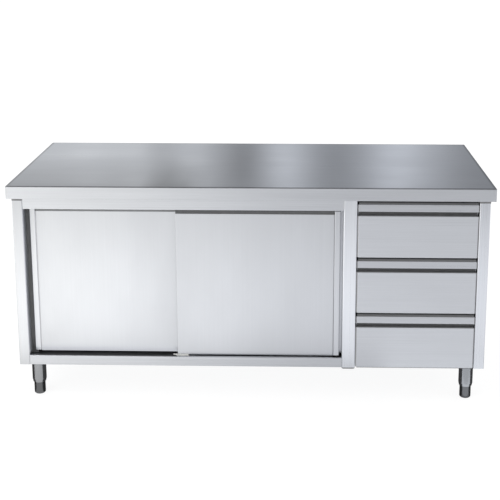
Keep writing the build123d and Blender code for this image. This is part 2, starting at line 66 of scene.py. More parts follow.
class Tree:
    """The node tree of a material or world; most methods add nodes and return an output socket."""

    def __init__(self, owner):
        owner.use_nodes = True
        self.owner = owner
        self.tree = owner.node_tree
        self.tree.nodes.clear()

    def node(self, kind, **values):
        """A new node with some of its settings."""
        made = self.tree.nodes.new(kind)
        for key, value in values.items():
            setattr(made, key, value)
        return made

    def put(self, socket, value):
        """Links an output to an input socket, or sets the input's own value."""
        if isinstance(value, bpy.types.NodeSocket):
            self.tree.links.new(value, socket)
        else:
            socket.default_value = value

    def place(self, scale=(1, 1, 1), kind="Object"):
        """Coordinates in the object's own frame, stretched along the axes."""
        coordinates = self.node("ShaderNodeTexCoord").outputs[kind]
        mapping = self.node("ShaderNodeMapping")
        self.put(mapping.inputs["Vector"], coordinates)
        self.put(mapping.inputs["Scale"], scale)
        return mapping.outputs[0]

    def axes(self, kind="Object"):
        """The separate x, y and z of a place."""
        split = self.node("ShaderNodeSeparateXYZ")
        self.put(split.inputs[0], self.place(kind=kind))
        return split.outputs

    def noise(self, vector, scale=1.0, detail=3.0, rough=0.5):
        """Noise from 0 to 1, mostly near 0.5."""
        made = self.node("ShaderNodeTexNoise")
        self.put(made.inputs["Vector"], vector)
        self.put(made.inputs["Scale"], scale)
        self.put(made.inputs["Detail"], detail)
        self.put(made.inputs["Roughness"], rough)
        return made.outputs["Fac"]

    def work_out(self, operation, a, b=0.0, clamp=False):
        """One operation on two numbers."""
        made = self.node("ShaderNodeMath", operation=operation, use_clamp=clamp)
        self.put(made.inputs[0], a)
        self.put(made.inputs[1], b)
        return made.outputs[0]

    def plus(self, a, b):
        return self.work_out("ADD", a, b)

    def minus(self, a, b, clamp=False):
        return self.work_out("SUBTRACT", a, b, clamp)

    def times(self, a, b):
        return self.work_out("MULTIPLY", a, b)

    def size(self, value):
        """The value without its sign."""
        return self.work_out("ABSOLUTE", value)

    def span(self, value, low, high, to_low, to_high):
        """The value's range from low to high, mapped to another range and clamped."""
        made = self.node("ShaderNodeMapRange", clamp=True)
        for socket, number in zip(made.inputs[:5], (value, low, high, to_low, to_high)):
            self.put(socket, number)
        return made.outputs[0]

    def mix(self, factor, a, b):
        """Colour a at factor 0, colour b at factor 1."""
        made = self.node("ShaderNodeMix", data_type="RGBA")
        self.put(made.inputs["Factor"], factor)
        for socket, value in zip(made.inputs[6:8], (a, b)):
            self.put(socket, (*value, 1.0) if isinstance(value, tuple) else value)
        return made.outputs[2]

    def scaled(self, colour, factor):
        """A colour made darker or brighter."""
        made = self.node("ShaderNodeVectorMath", operation="SCALE")
        self.put(made.inputs[0], colour)
        self.put(made.inputs["Scale"], factor)
        return made.outputs[0]

    def bump(self, height, strength, distance):
        """A normal tilted by a height."""
        made = self.node("ShaderNodeBump")
        self.put(made.inputs["Height"], height)
        self.put(made.inputs["Strength"], strength)
        self.put(made.inputs["Distance"], distance)
        return made.outputs[0]

    def edges(self, radius):
        """1 along sharp outer and inner edges, 0 on flat faces."""
        bevel = self.node("ShaderNodeBevel", samples=4)
        self.put(bevel.inputs["Radius"], radius)
        normal = self.node("ShaderNodeNewGeometry").outputs["Normal"]
        likeness = self.node("ShaderNodeVectorMath", operation="DOT_PRODUCT")
        self.put(likeness.inputs[0], bevel.outputs[0])
        self.put(likeness.inputs[1], normal)
        return self.span(likeness.outputs["Value"], 0.72, 0.99, 1.0, 0.0)

    def output(self, kind, surface):
        """Ends the tree and returns its material or world."""
        self.put(self.node(kind).inputs["Surface"], surface)
        return self.owner

    def finish(self, base, roughness, normal=None, **constants):
        """Ends the tree with a Principled surface; constants go straight to the shader's sockets."""
        shader = self.node("ShaderNodeBsdfPrincipled")
        self.put(shader.inputs["Base Color"], base)
        self.put(shader.inputs["Roughness"], roughness)
        if normal is not None:
            self.put(shader.inputs["Normal"], normal)
        for key, value in constants.items():
            self.put(shader.inputs[key.replace("_", " ")], value)
        return self.output("ShaderNodeOutputMaterial", shader.outputs[0])


def new_tree(name):
    """The empty tree of a new material."""
    return Tree(bpy.data.materials.new(name))


def shade(colour, factor):
    """A fixed colour made darker or brighter."""
    return tuple(channel * factor for channel in colour)


# ---- materials of the table ----

STEEL = (0.585, 0.60, 0.63)

# The worktop's upper fold reaches FOLD below its top, and the painted dark reflection along the rim thins out
# inwards over the band given below.
TOP = cad_box[1].z
FOLD = 0.004
PAINTED_RIM_BAND = (0.003, 0.013)

# The worktop's painted dark reflection thins out over these ranges, and is heavier round one place.
DARK_REFLECTION_Y = (-0.4, 0.15)
DARK_REFLECTION_X = (-0.5, 0.0)
DARK_REFLECTION_PATCH_X = -0.28
DARK_REFLECTION_PATCH_REACH = (0.04, 0.13)


def stretch(axis, along, across):
    """Scale of a grain that runs along an axis."""
    return tuple(along if letter == axis else across for letter in "XYZ")


def painted_rim_reflection(tree):
    """1 on the upper fold round the worktop and on a narrow band beside it, where a dark reflection is
    painted.
    """
    x, y, z = tree.axes()
    half = (cad_box[1] - cad_box[0]) / 2
    from_end = tree.minus(half.x, tree.size(x))
    from_front_or_back = tree.minus(half.y, tree.size(y))
    inside = tree.work_out("MINIMUM", from_end, from_front_or_back)
    band = tree.span(inside, *PAINTED_RIM_BAND, 1, 0)
    return tree.times(band, tree.span(z, TOP - FOLD, TOP - 0.0015, 0, 1))


def painted_worktop_reflection(tree, base):
    """A painted dark reflection that grows towards the front at the left-hand end, with a heavier patch in
    it.
    """
    x, y, z = tree.axes()
    patch = tree.span(tree.size(tree.minus(x, DARK_REFLECTION_PATCH_X)), *DARK_REFLECTION_PATCH_REACH, 0.8, 0)
    across = tree.plus(tree.span(x, *DARK_REFLECTION_X, 1.0, 0), patch)
    painted_darkening = tree.times(tree.span(y, *DARK_REFLECTION_Y, 0.8, 0), across)
    painted_darkening = tree.times(painted_darkening, tree.span(z, TOP - FOLD, TOP - 0.002, 0, 1))
    return tree.scaled(base, tree.span(painted_darkening, 0, 1, 1, 0.6))


def brushed(name, axis, tone=1.0, rough=0.32, anisotropy=0.7, grain=0.5, cloud=0.5, wear=0.35, rim=0.0):
    """Ground stainless sheet: fine grain along an axis, longer streaks, faint clouds, bright worn edges.

    Where rim is given it is the worktop's sheet, with a painted dark reflection over it and another along its
    rim, and no worn edges.
    """
    tree = new_tree(name)
    fine = tree.noise(tree.place(stretch(axis, 6, 1400)))
    streak = tree.noise(tree.place(stretch(axis, 1.3, 190)), detail=4, rough=0.6)
    smear = tree.noise(tree.place(stretch(axis, 2.2, 5)), detail=4, rough=0.55)
    brushing = tree.plus(tree.times(fine, 0.5), tree.times(streak, 0.5))
    edge = tree.edges(0.0016)

    tint = shade(STEEL, tone)
    dark, light = shade(tint, 1 - 0.12 * grain), shade(tint, 1 + 0.1 * grain)
    lined = tree.mix(tree.span(brushing, 0.35, 0.65, 0, 1), dark, light)
    smeared = tree.mix(tree.span(smear, 0.35, 0.7, 0, 0.6 * cloud), lined, shade(tint, 0.93))
    if rim:
        # painted dark reflections on the worktop: along the rim's fold, and over the sheet
        base = tree.mix(tree.times(painted_rim_reflection(tree), rim), painted_worktop_reflection(tree, smeared), shade(tint, 0.15))
    else:
        base = tree.mix(tree.times(edge, wear), smeared, shade(tint, 1.35))

    matt = tree.span(brushing, 0.3, 0.7, rough - 0.05, rough + 0.05)
    matt = tree.plus(matt, tree.span(smear, 0.3, 0.7, -0.03, 0.04))
    matt = tree.minus(matt, tree.times(edge, 0.08), clamp=True)
    normal = tree.bump(brushing, 0.12 * grain, 0.0003)
    tangent = tree.node("ShaderNodeTangent", direction_type="RADIAL", axis=axis).outputs[0]
    return tree.finish(base, matt, normal, Metallic=1.0, Anisotropic=anisotropy, Tangent=tangent)


def zinc(name):
    """Bright zinc plate with a crystalline mottle and a few dull stains."""
    tree = new_tree(name)
    mottle = tree.noise(tree.place(), 160, 3, 0.6)
    stain = tree.noise(tree.place(), 18, 4, 0.6)
    base = tree.mix(tree.span(mottle, 0.35, 0.65, 0, 1), (0.56, 0.58, 0.6), (0.7, 0.72, 0.73))
    base = tree.mix(tree.span(stain, 0.45, 0.8, 0, 0.5), base, (0.47, 0.47, 0.45))
    base = tree.mix(tree.times(tree.edges(0.001), 0.4), base, (0.82, 0.83, 0.84))
    matt = tree.span(mottle, 0.3, 0.7, 0.28, 0.42)
    return tree.finish(base, matt, tree.bump(mottle, 0.1, 0.0003), Metallic=1.0)


def polymer(name, dark, light, rough, spread, relief):
    """Moulded plastic or rubber with a fine pebble and scuffed edges."""
    tree = new_tree(name)
    pebble = tree.noise(tree.place(), 900, 2, 0.5)
    cloud = tree.noise(tree.place(), 35, 4, 0.6)
    base = tree.mix(tree.span(cloud, 0.3, 0.7, 0, 1), dark, light)
    scuff = shade(light, 1.5 if max(light) < 0.5 else 1.05)
    base = tree.mix(tree.times(tree.edges(0.0008), 0.5), base, scuff)
    matt = tree.span(cloud, 0.3, 0.7, rough - spread, rough + spread)
    return tree.finish(base, matt, tree.bump(pebble, relief, 0.0002))


def particle_board(name):
    """Raw board of pressed wood flakes."""
    tree = new_tree(name)
    voronoi = tree.node("ShaderNodeTexVoronoi")
    tree.put(voronoi.inputs["Vector"], tree.place((0.4, 1, 1.8)))
    tree.put(voronoi.inputs["Scale"], 420)
    flakes = voronoi.outputs["Distance"]
    grain = tree.noise(tree.place(), 90, 5, 0.7)
    base = tree.mix(tree.span(flakes, 0, 0.8, 0, 1), (0.36, 0.25, 0.14), (0.58, 0.44, 0.28))
    base = tree.mix(tree.span(grain, 0.35, 0.7, 0, 0.6), base, (0.3, 0.2, 0.11))
    return tree.finish(base, tree.span(grain, 0.3, 0.7, 0.6, 0.85), tree.bump(flakes, 0.3, 0.0005))


finishes = {
    # name, grain axis, tone, roughness, anisotropy, grain, cloud
    # the worktop's sheet carries painted dark reflections, over it and along its rim
    "top": brushed("worktop_brushed", "X", 1.0, 0.33, 0.8, 0.7, 0.7, rim=0.62),
    "rail": brushed("rail_brushed", "X", 1.0, 0.34, 0.7, 0.8, 0.4),
    "post": brushed("post_brushed", "Z", 0.98, 0.3, 0.7, 0.5, 0.4),
    # painted light: the post steel made brighter for the middle and right posts
    "painted_lit_post": brushed("bright_post_brushed", "Z", 1.28, 0.3, 0.7, 0.5, 0.4),
    "panel": brushed("panel_brushed", "Z", 0.98, 0.36, 0.6, 0.6, 0.7),
    "door": brushed("door_brushed", "Z", 1.02, 0.36, 0.5, 0.22, 0.8),
    "grip": brushed("grip_brushed", "Z", 1.02, 0.3, 0.6, 0.5, 0.4),
    "drawer": brushed("drawer_brushed", "X", 1.07, 0.36, 0.6, 0.5, 0.5),
    "bar": brushed("bar_brushed", "X", 0.96, 0.32, 0.6, 0.6, 0.4),
    "inner": brushed("inner_brushed", "Y", 0.95, 0.38, 0.5, 0.6, 0.7),
    "foot": brushed("foot_turned", "Z", 0.6, 0.2, 0.1, 0.4, 0.4),
    "insert": brushed("insert_turned", "Z", 0.25, 0.24, 0.1, 0.4, 0.4),
    "weld": brushed("weld_bead", "Z", 0.9, 0.3, 0.2, 1.0, 1.0, wear=0.1),
    "zinc": zinc("zinc_plate"),
    "board": particle_board("underlay_board"),
    # name, darkest and lightest colour, roughness, its spread, relief
    "nylon": polymer("nylon_natural", (0.66, 0.66, 0.64), (0.76, 0.76, 0.74), 0.42, 0.08, 0.15),
    "rubber": polymer("rubber_black", (0.018, 0.018, 0.02), (0.04, 0.04, 0.042), 0.62, 0.12, 0.4),
    # the next two greys are for pieces put in gaps as painted shade
    "gasket": polymer("grey_painted_shade", (0.26, 0.265, 0.27), (0.32, 0.325, 0.33), 0.6, 0.1, 0.3),
    "seal": polymer("dark_painted_shade", (0.085, 0.087, 0.09), (0.11, 0.112, 0.115), 0.7, 0.1, 0.3),
    # a grey for the strips that stand in for the shade at the drawer fronts' ends
    "pale_shade": polymer("pale_painted_shade", (0.32, 0.32, 0.33), (0.38, 0.38, 0.39), 0.6, 0.1, 0.3),
    "sealant": polymer("sealant_clear", (0.74, 0.74, 0.75), (0.8, 0.8, 0.81), 0.5, 0.1, 0.3),
    # the posts' end plugs, and also the dark rings that are painted shade at the outer posts' tops
    "plug": polymer("plug_grey_and_painted_shade", (0.16, 0.16, 0.165), (0.22, 0.22, 0.225), 0.5, 0.1, 0.3),
}

# The first text that is in a CAD node's name gives its finish.
FINISH_OF = [
    ("worktop_skin", "top"), ("worktop_underlay", "board"), ("worktop_stiffeners", "rail"),
    ("header_rail", "rail"), ("bottom_shelf", "rail"), ("middle_shelf", "rail"), ("door_track", "rail"),
    ("drawer_bay_floor", "inner"), ("base_channels", "inner"), ("shelf_supports", "inner"),
    ("side_panel", "panel"), ("back_panel", "panel"), ("partition_panel", "panel"),
    ("drawer_bay_liner", "panel"), ("door_bumpers", "rubber"), ("door_guide", "nylon"),
    # the hangers' dark seal finish also serves as painted shade in the gap above the doors
    ("outer_skin", "door"), ("inner_skin", "door"), ("edge_grip", "grip"), ("hangers", "seal"),
    ("roller", "nylon"), ("grip_bar", "bar"), ("tray_runners", "zinc"), ("middle_runners", "zinc"),
    ("fixed_runners", "zinc"), ("tray", "inner"), ("_front", "drawer"), ("post_end_plugs", "plug"),
    # the middle and right posts take the brighter copy of the post steel, painted light
    ("middle_post", "painted_lit_post"), ("right_post", "painted_lit_post"), ("_post", "post"),
    ("foot_sleeves", "foot"), ("foot_insert", "insert"), ("foot_plates", "zinc"), ("foot_bolts", "zinc"),
]

for name, thing in nodes.items():
    finish = next(finish for text, finish in FINISH_OF if text in name)
    thing.data.materials.clear()
    thing.data.materials.append(finishes[finish])


# ---- mesh helpers ----

class Shape:
    """Closed solids gathered into one mesh, in the row frame."""

    def __init__(self):
        self.points = []
        self.faces = []

    def loft(self, rings, tip=None):
        """Skin over rings of equal length; the ends are closed, the last one by a tip point if given."""
        start, count = len(self.points), len(rings[0])
        for ring in rings:
            self.points += [tuple(point) for point in ring]
        for row in range(len(rings) - 1):
            for k in range(count):
                a, b = start + row * count + k, start + row * count + (k + 1) % count
                self.faces.append((a, b, b + count, a + count))
        self.faces.append(tuple(start + k for k in reversed(range(count))))
        last = start + (len(rings) - 1) * count
        if tip is None:
            self.faces.append(tuple(last + k for k in range(count)))
            return
        self.points.append(tuple(tip))
        peak = len(self.points) - 1
        self.faces += [(last + k, last + (k + 1) % count, peak) for k in range(count)]

    def bar(self, section, ends):
        """A section in (y, z) pulled along X between two places."""
        self.loft([[(x, y, z) for y, z in section] for x in ends])

    def upright(self, section, ends):
        """A section in (x, y) pulled along Z between two heights."""
        self.loft([[(x, y, z) for x, y in section] for z in ends])

    def build(self, name, body, finish, smooth=35, bevel=0.0):
        """Makes the piece; faces at less than smooth degrees are shaded as one."""
        mesh = bpy.data.meshes.new(name)
        mesh.from_pydata(self.points, [], self.faces)
        work = bmesh.new()
        work.from_mesh(mesh)
        bmesh.ops.recalc_face_normals(work, faces=work.faces)
        work.to_mesh(mesh)
        work.free()
        mesh.materials.append(finishes[finish])
        made = bpy.data.objects.new(name, mesh)
        scene.collection.objects.link(made)
        for polygon in mesh.polygons:
            polygon.use_smooth = True
        mesh.set_sharp_from_angle(angle=math.radians(smooth))
        if bevel:
            rounding = made.modifiers.new("rounding", "BEVEL")
            rounding.width = bevel
            rounding.segments = 2
            rounding.limit_method = "ANGLE"
        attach(made, body)


def directions(axis):
    """An axis of length 1 and two directions across it."""
    axis = Vector(axis).normalized()
    side = axis.orthogonal().normalized()
    return axis, side, axis.cross(side)


def socket_screw(shape, place, axis, radius=0.0035, height=0.002):
    """Button head with a hexagonal socket."""
    axis, side, other = directions(axis)
    count, sixth = 24, math.pi / 3

    def ring(share, level, hexed=False):
        """A circle, or a hexagon with its corners on that circle."""
        points = []
        for k in range(count):
            angle = 2 * math.pi * k / count
            reach = share * radius
            if hexed:
                turn = (angle + sixth / 2) % sixth - sixth / 2
                reach *= math.cos(sixth / 2) / math.cos(turn)
            across = side * (reach * math.cos(angle)) + other * (reach * math.sin(angle))
            points.append(Vector(place) + across + axis * (level * height))
        return points

    head = [ring(1, 0), ring(1, 0.3), ring(0.9, 0.68), ring(0.72, 0.92), ring(0.58, 1)]
    socket = [ring(0.46, 0.99, True), ring(0.44, 0.35, True)]
    shape.loft(head + socket, Vector(place) + axis * (0.3 * height))


def rivet(shape, place, axis, radius=0.0034, height=0.0011):
    """Blind rivet: a low dome with the broken mandrel in its middle."""
    axis, side, other = directions(axis)
    angles = [2 * math.pi * k / 20 for k in range(20)]
    dome = [(1, 0), (0.97, 0.25), (0.84, 0.6), (0.62, 0.88), (0.42, 1)]
    mandrel = [(0.34, 0.96), (0.3, 0.6), (0.2, 0.66)]
    rings = []
    for reach, level in dome + mandrel:
        middle = Vector(place) + axis * (level * height)
        out = [side * math.cos(angle) + other * math.sin(angle) for angle in angles]
        rings.append([middle + direction * (reach * radius) for direction in out])
    shape.loft(rings, Vector(place) + axis * (0.7 * height))


def evenly(low, high, margin, count):
    """Places spread evenly between two ends, the outer ones a margin inside them."""
    return [low + margin + k * (high - low - 2 * margin) / (count - 1) for k in range(count)]


def rounded_rectangle(x0, x1, y0, y1, z, radius=0.0045):
    """Outline of a post's section at one height."""
    left, right, front, back = x0 + radius, x1 - radius, y0 + radius, y1 - radius
    points = []
    for quarter, (x, y) in enumerate(((right, back), (left, back), (left, front), (right, front))):
        for k in range(6):
            angle = math.pi / 2 * (quarter + k / 5)
            points.append((x + radius * math.cos(angle), y + radius * math.sin(angle), z))
    return points


def weld(shape, start, end, out, width=0.0022, height=0.0005, pitch=0.0021):
    """A rippled bead from start to end on a face that looks towards out."""
    start, end, out = Vector(start), Vector(end), Vector(out).normalized()
    along = (end - start).normalized()
    across = along.cross(out).normalized()
    length = (end - start).length
    root = out * 0.0003
    arc = [math.pi * k / 6 for k in range(7)]
    count = max(6, int(length / (pitch / 4)))
    rings = []
    for k in range(count + 1):
        share = k / count
        ripple = math.sin(math.pi * ((share * length / pitch) % 1))
        fade = min(1, 6 * share, 6 * (1 - share)) ** 0.5 if 0 < share < 1 else 0.25
        rise = height * fade * (0.72 + 0.28 * ripple) * random.uniform(0.94, 1.06)
        half = width / 2 * fade * (0.9 + 0.1 * ripple)
        middle = start + along * (share * length)
        ring = [middle + across * (half * math.cos(turn)) + out * (rise * math.sin(turn)) for turn in arc]
        rings.append([ring[0] - root] + ring + [ring[-1] - root])
    shape.loft(rings)


ROW_BEADS, ROW_START, ROW_PITCH, ROW_LENGTH = 6, 0.03, 0.115, 0.028


def weld_row(shape, x, y, foot, out, height):
    """Short beads, one above another, the first one ROW_START above foot."""
    for k in range(ROW_BEADS):
        z = foot + ROW_START + k * ROW_PITCH
        weld(shape, (x, y, z), (x, y, z + ROW_LENGTH), out, width=0.004, height=height)


# ---- extra pieces: dark strips in the drawer gaps, painted shade in the finger slots and over the grip bars ----

END_GAP = 0.0015    # from a dark strip's end to the end of its drawer front
LEG = 0.0018        # thickness of the finger slot's dark strip

for name in DRAWERS:
    front_low, front_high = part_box(name + "_front")
    ends = (front_low.x + END_GAP, front_high.x - END_GAP)
    face, web, top = front_low.y, front_high.y, front_high.z
    # a dark strip in the finger slot, standing in for the slot's shade
    slot_shade_strip = Shape()
    slot_shade_strip.bar([
        (face + 0.0035, top), (web, top), (web, top + 0.0135), (web - LEG, top + 0.0135),
        (web - LEG, top + LEG + 0.001), (web - LEG - 0.001, top + LEG), (face + 0.0065, top + LEG),
        (face + 0.0055, top + LEG + 0.0008), (face + 0.0045, top + LEG),
    ], ends)
    slot_shade_strip.build(name + "_slot_shade_strip", name, "seal", bevel=0.0003)
    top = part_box(name + "_grip_bar")[1].z
    # a dark strip on the grip bar, standing in for the shade in the gap over it
    bar_shade_strip = Shape()
    bar_shade_strip.bar([
        (face + 0.002, top - 0.0002), (web - 0.002, top - 0.0002), (web - 0.002, top + 0.004),
        (web - 0.005, top + 0.0075), (web - 0.0085, top + 0.0075), (web - 0.0095, top + 0.004),
        (face + 0.005, top + 0.004), (face + 0.0045, top + 0.0075), (face + 0.002, top + 0.007),
    ], ends)
    bar_shade_strip.build(name + "_bar_shade_strip", name, "seal", bevel=0.0003)

# ---- extra piece: dark strip under the lowest drawer's front, painted shade along its lower edge ----

low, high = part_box("drawer_3_front")
face, web, foot = low.y, high.y, low.z
lower_shade_strip = Shape()
lower_shade_strip.bar([
    (face + 0.001, foot), (face + 0.001, foot - 0.0012), (face + 0.0018, foot - 0.0019),
    (web - 0.003, foot - 0.0019), (web - 0.002, foot - 0.0012), (web - 0.002, foot),
], (low.x + END_GAP, high.x - END_GAP))
lower_shade_strip.build("drawer_3_lower_gasket", "drawer_3", "seal", bevel=0.0002)

# ---- extra piece: weld beads of the frame ----

left_post, middle_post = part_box("front_left_post"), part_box("front_middle_post")
right_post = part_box("front_right_post")
rear_left, rear_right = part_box("rear_left_post"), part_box("rear_right_post")
header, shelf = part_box("header_rail"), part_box("bottom_shelf")
face, foot = left_post[0].y, left_post[0].z
seams = Shape()
for x in (left_post[1].x, middle_post[0].x):
    weld(seams, (x, face, header[0].z + 0.002), (x, face, header[1].z - 0.001), (0, -1, 0))
    weld(seams, (x, face, foot + 0.002), (x, face, foot + 0.036), (0, -1, 0))
back_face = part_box("back_panel")[1].y
for x in (rear_left[1].x, rear_right[0].x):
    weld_row(seams, x, back_face, rear_left[0].z, (0, 1, 0), 0.001)
for side, out, corner in SIDES:
    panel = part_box(side + "_side_panel")
    for y in (panel[0].y, panel[1].y):
        weld_row(seams, panel[corner].x, y, panel[0].z, (out, 0, 0), 0.0009)
seams.build("frame_welds", "cabinet", "weld", smooth=60)

# ---- extra pieces: rivets and screws ----

FROM_FOOT = 0.012    # from a panel's lower edge to its row of rivets
TRAY_SHEET = 0.001   # thickness of a drawer tray's sheet

rivets = Shape()
low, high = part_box("back_panel")
for x in (low.x + FROM_FOOT, high.x - FROM_FOOT):
    for z in evenly(low.z, high.z, 0.04, 7):
        rivet(rivets, (x, high.y, z), (0, 1, 0))
for x in evenly(low.x, high.x, 0.09, 12):
    rivet(rivets, (x, high.y, low.z + FROM_FOOT), (0, 1, 0))
for side, out, corner in SIDES:
    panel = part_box(side + "_side_panel")
    for y in evenly(panel[0].y, panel[1].y, 0.06, 6):
        rivet(rivets, (panel[corner].x, y, panel[0].z + FROM_FOOT), (out, 0, 0))
rivets.build("panel_rivets", "cabinet", "zinc", smooth=50)

for door in ("left_door", "right_door"):
    low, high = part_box(door + "_hangers")
    skin_low, skin_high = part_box(door + "_outer_skin")
    screws = Shape()
    for centre in (low.x + 0.018, high.x - 0.018):
        for x in (centre - 0.010, centre + 0.010):
            place = (x, skin_low.y + 0.0095, skin_high.z + 0.002)
            socket_screw(screws, place, (0, 0, 1), radius=0.003, height=0.0018)
    screws.build(door + "_hanger_screws", door, "zinc", smooth=50)

for name in DRAWERS:
    low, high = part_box(name + "_tray")
    screws = Shape()
    for x in (low.x + 0.05, low.x + 0.14, high.x - 0.14, high.x - 0.05):
        for z in (low.z + 0.03, high.z - 0.035):
            socket_screw(screws, (x, low.y + TRAY_SHEET, z), (0, 1, 0))
    screws.build(name + "_front_screws", name, "zinc", smooth=50)

# ---- extra pieces: grey strips at the ends of the drawer fronts, painted shade in the gaps beside them ----

for name in DRAWERS:
    front_low, front_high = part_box(name + "_front")
    bar_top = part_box(name + "_grip_bar")[1].z
    y = front_low.y
    beside_front = (front_low.z + 0.001, front_high.z - 0.001)
    beside_bar = (front_high.z + 0.0155, bar_top - 0.002)
    strips = Shape()
    for side, near, wall in ((-1, front_low.x, middle_post[1].x), (1, front_high.x, right_post[0].x)):
        tip, inner, outer = wall - side * 0.0008, near - side * 0.0002, near + side * 0.0012
        section = [
            (inner, y + 0.0045), (tip, y + 0.0035), (tip, y + 0.0055),
            (outer, y + 0.0065), (outer, y + 0.013), (inner, y + 0.013),
        ]
        strips.upright(section, beside_front)
        strips.upright(section, beside_bar)
    strips.build(name + "_end_shade_strips", name, "pale_shade", bevel=0.0002)

# ---- extra pieces: strips behind the doors' outer edges, the one at the left door a grey stand-in for the shade in its gap; dark strips on the doors, painted shade in the gap above them ----

skin_low, skin_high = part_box("right_door_outer_skin")
x, y = middle_post[0].x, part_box("right_door_inner_skin")[1].y + 0.0008
jamb = Shape()
jamb.upright([
    (x, y + 0.004), (x, y), (x - 0.0095, y), (x - 0.0105, y + 0.001), (x - 0.0095, y + 0.002),
    (x - 0.0015, y + 0.002),
], (skin_low.z + 0.004, skin_high.z + 0.012))
jamb.build("door_jamb_strip", "cabinet", "post", bevel=0.0002)

x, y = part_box("left_side_panel")[0].x + 0.0205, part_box("left_door_inner_skin")[1].y + 0.0012
front = left_post[1].y + 0.002
# a grey strip in the gap beside the left door, painted shade for that gap
shade_fill = Shape()
shade_fill.upright([
    (x, front), (x + 0.002, front), (x + 0.002, y), (x + 0.036, y), (x + 0.0375, y + 0.001),
    (x + 0.036, y + 0.002), (x, y + 0.002),
], (shelf[0].z + 0.022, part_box("door_track")[0].z))
shade_fill.build("left_closing_strip", "cabinet", "gasket", bevel=0.0002)

# dark strips on the door tops, painted shade in the gap under the header, greyer over the left door
for door, finish in (("left_door", "gasket"), ("right_door", "seal")):
    skin_low, skin_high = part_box(door + "_outer_skin")
    grip_low, grip_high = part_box(door + "_edge_grip")
    grip_on_left = grip_low.x < skin_low.x
    start = grip_high.x if grip_on_left else skin_low.x
    end = skin_high.x if grip_on_left else grip_low.x
    y, foot, top = skin_low.y, skin_high.z, skin_high.z + 0.0145
    top_shade_strip = Shape()
    top_shade_strip.bar([
        (y + 0.0004, foot), (y + 0.0004, top), (y - 0.0004, top), (y - 0.0006, foot + 0.004),
        (y - 0.0013, foot + 0.0034), (y - 0.0013, foot + 0.0002), (y - 0.0008, foot),
    ], (start + 0.0005, end - 0.0005))
    top_shade_strip.build(door + "_top_shade_strip", door, finish, bevel=0.0002)

# ---- extra piece: sealant along the left grip's joint ----

grip_low, grip_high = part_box("left_door_edge_grip")
skin_low, skin_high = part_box("left_door_outer_skin")
x, y = grip_high.x, skin_low.y
joint = Shape()
joint.upright([
    (x - 0.0025, y + 0.0002), (x - 0.0025, y - 0.0030), (x - 0.0006, y - 0.0031), (x + 0.0002, y - 0.0022),
    (x + 0.0008, y - 0.0008), (x + 0.0016, y + 0.0002),
], (grip_low.z + 0.001, skin_high.z - 0.002))
joint.build("left_door_grip_sealant", "left_door", "sealant", smooth=60)

# ---- extra piece: lead-in horn of the doors' floor guide ----

guide_low, guide_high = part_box("door_guide")
x, top = guide_low.x, guide_high.z
outline = [
    (x + 0.003, top - 0.0195), (x + 0.003, top), (x - 0.031, top), (x - 0.0325, top - 0.001),
    (x - 0.031, top - 0.0025), (x - 0.02, top - 0.006), (x - 0.013, top - 0.0105), (x - 0.0105, top - 0.0195),
]
horn = Shape()
horn.loft([[(along, y, z) for along, z in outline] for y in (guide_low.y + 0.0001, guide_low.y + 0.0023)])
horn.build("door_guide_horn", "cabinet", "nylon", bevel=0.0004)

# ---- extra piece: dark rings at the posts' upper ends, painted shade under the worktop's overhang ----

SHADE_RING_PROUD = 0.0006
SHADE_RING_HEIGHT = 0.0108

shade_rings = Shape()
for low, high in (left_post, right_post, rear_left, rear_right):
    foot = high.z - SHADE_RING_HEIGHT
    rings = []
    for z, share in ((foot, 0.5), (foot + 0.0006, 1), (high.z - 0.0002, 1)):
        grow = share * SHADE_RING_PROUD
        rings.append(rounded_rectangle(low.x - grow, high.x + grow, low.y - grow, high.y + grow, z))
    shade_rings.loft(rings)
shade_rings.build("post_cap_rings", "cabinet", "plug", smooth=50)


# ---- studio: floor and the cards that reflect in the steel ----

FLOOR_GLOW = 0.87
HALF_FLOOR = 30.0

# Brightness of the reflected cards: (metres, brightness) along X or Y.
STRIPS_X = [
    (-8.0, 0.7), (-3.0, 0.8), (-2.08, 0.9), (-1.92, 0.9), (-1.74, 1.08), (-1.55, 0.88), (-1.4, 0.9),
    (-1.27, 1.12), (-1.12, 0.52), (-0.95, 0.64), (-0.77, 1.12), (-0.6, 0.6), (-0.46, 0.45), (-0.3, 0.1),
    (-0.12, 0.58), (0.04, 1.16), (0.2, 0.8), (0.35, 0.43), (0.51, 0.3), (0.69, 0.4), (0.85, 0.6),
    (1.0, 0.98), (1.14, 1.04), (1.32, 0.72), (1.5, 0.6), (1.66, 0.4), (2.2, 0.32), (3.0, 0.35), (8.0, 0.5),
]
STRIPS_Y = [(-0.5, 0.7), (2.0, 0.94), (5.0, 1.0), (10.0, 1.02), (40.0, 1.02)]
FRONT_X = [
    (-6.0, 1.75), (-1.5, 1.75), (-0.8, 1.62), (-0.3, 1.34), (0.2, 1.05), (0.7, 0.96), (1.5, 0.92),
    (6.0, 0.88),
]
FRONT_Y = [
    (-14.0, 0.45), (-6.0, 0.48), (-3.6, 0.6), (-2.6, 0.88), (-1.5, 1.05), (-0.9, 0.95), (-0.7, 0.62),
    (-0.3, 0.55),
]
FAR_X = [
    (-6.0, 1.75), (-1.5, 1.75), (-0.8, 1.6), (-0.3, 1.26), (0.2, 0.9), (0.7, 0.78), (1.5, 0.76), (6.0, 0.74),
]
# The strips over the worktop fan out from a fixed place below the main camera. STRIPS_X holds at FAN_REACH
# behind that place.
FAN_X, FAN_Y, FAN_REACH = 0.168, -4.252, 9.55

STRIP_HEIGHT = 2.05
STRIP_START = -0.4      # the bright card over the worktop begins here, and the dark one ends
FRONT_HEIGHT = 0.003
FRONT_SEAM = -2.9       # the front card ends here, and the far one begins
FOOT_CARD_HEIGHT = 0.0036
FOOT_CARD_X = (0.52, 1.12)
FLAG_FOOT, FLAG_TOP, FLAG_RADIUS = 0.004, 0.14, 0.075


